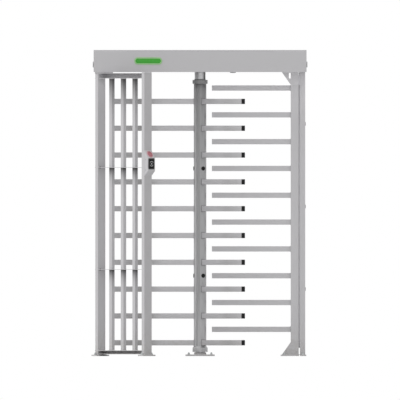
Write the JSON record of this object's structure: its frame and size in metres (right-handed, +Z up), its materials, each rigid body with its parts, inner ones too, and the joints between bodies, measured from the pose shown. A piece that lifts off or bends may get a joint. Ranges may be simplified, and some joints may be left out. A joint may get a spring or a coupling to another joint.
{
  "type": "full height turnstile",
  "caption": "Full height turnstile: a rotor with wings of horizontal arms turns between a barred cage and a fixed comb, under a header box that holds the lock.",
  "frame": {"origin": "on the floor, on the rotor's axis, under the floor pedestal", "axes": "+Z up along the rotor's axis, +X towards the comb and side post, -Y towards the entrance side with the card reader"},
  "size_m": [1.6228, 1.3242, 2.3],
  "materials": {
    "frame_paint": "light grey powder coat, satin",
    "satin_steel": "brushed, satin",
    "machined_steel": "turned, bright",
    "zinc_steel": "zinc plated",
    "black_plastic": "moulded, satin",
    "green_lens": "lit lens",
    "red_lens": "clear red lens",
    "coil": "moulded coil body"
  },
  "bodies": {
    "frame": {"header_tray": "frame_paint", "lid_hinge_rod": "zinc_steel", "indicator_front": "green_lens", "indicator_rear": "green_lens", "control_box": "black_plastic", "power_supply": "zinc_steel", "cage_top_plate": "frame_paint", "left_post_front": "frame_paint", "left_post_rear": "frame_paint", "guide_post_front": "frame_paint", "guide_post_rear": "frame_paint", "cage_panel_front": "frame_paint", "cage_panel_side": "frame_paint", "cage_panel_rear": "frame_paint", "hoop_front_lower": "frame_paint", "hoop_front_upper": "frame_paint", "hoop_side_lower": "frame_paint", "hoop_side_upper": "frame_paint", "hoop_rear_lower": "frame_paint", "hoop_rear_upper": "frame_paint", "tie_beam": "frame_paint", "comb_frame": "frame_paint", "side_post": "frame_paint", "comb_spacer": "frame_paint", "comb_bolt_lower": "zinc_steel", "comb_bolt_middle": "zinc_steel", "comb_bolt_upper": "zinc_steel", "gusset_top": "frame_paint", "gusset_bottom": "frame_paint", "reader_housing": "frame_paint", "reader_panel": "black_plastic", "status_lamp": "red_lens", "floor_pedestal": "frame_paint", "lower_bearing": "machined_steel", "bearing_housing": "zinc_steel", "upper_bearing": "machined_steel", "solenoid_left": "coil", "solenoid_right": "coil"},
    "rotor": {"rotor_column": "satin_steel", "wing_a": "frame_paint", "wing_b": "frame_paint", "wing_c": "frame_paint", "wing_plug_a1": "black_plastic", "wing_plug_a2": "black_plastic", "wing_plug_b1": "black_plastic", "wing_plug_b2": "black_plastic", "wing_plug_c1": "black_plastic", "wing_plug_c2": "black_plastic", "top_collar": "satin_steel", "bottom_collar": "satin_steel", "spindle": "machined_steel", "lock_disc": "zinc_steel"},
    "lid": {"header_lid": "frame_paint"},
    "left_lock": {"lock_left": "zinc_steel"},
    "right_lock": {"lock_right": "zinc_steel"},
    "left_pawl": {"pawl_left": "zinc_steel"},
    "right_pawl": {"pawl_right": "zinc_steel"},
    "left_plunger": {"plunger_left": "machined_steel"},
    "right_plunger": {"plunger_right": "machined_steel"}
  },
  "joints": [
    {"name": "rotor_spin", "type": "hinge", "parent": "frame", "child": "rotor", "pos_m": [0, 0, 0], "axis": [0, 0, 1], "continuous": true},
    {"name": "lid_open", "type": "hinge", "parent": "frame", "child": "lid", "pos_m": [0, 0.29521, 2.291], "axis": [-1, 0, 0], "range_deg": [0, 100]},
    {"name": "left_lock_turn", "type": "hinge", "parent": "frame", "child": "left_lock", "pos_m": [-0.8003, 0, 2.191], "axis": [1, 0, 0], "range_deg": [0, 90]},
    {"name": "right_lock_turn", "type": "hinge", "parent": "frame", "child": "right_lock", "pos_m": [0.8003, 0, 2.191], "axis": [1, 0, 0], "range_deg": [0, 90]},
    {"name": "left_pawl_swing", "type": "hinge", "parent": "frame", "child": "left_pawl", "pos_m": [-0.117, -0.09, 2.1806], "axis": [0, 0, -1], "range_deg": [0, 9], "stiffness_Nm_per_rad": 1},
    {"name": "right_pawl_swing", "type": "hinge", "parent": "frame", "child": "right_pawl", "pos_m": [0.117, 0.09, 2.1806], "axis": [0, 0, -1], "range_deg": [0, 9], "stiffness_Nm_per_rad": 1},
    {"name": "left_plunger_slide", "type": "slide", "parent": "frame", "child": "left_plunger", "axis": [1, 0, 0], "range_m": [0, 0.0192]},
    {"name": "right_plunger_slide", "type": "slide", "parent": "frame", "child": "right_plunger", "axis": [-1, 0, 0], "range_m": [0, 0.0192]}
  ],
  "couplings": [
    {"joint": "left_plunger_slide", "follows": "left_pawl_swing", "m_per_rad": 0.1216},
    {"joint": "right_plunger_slide", "follows": "right_pawl_swing", "m_per_rad": 0.1216}
  ]
}
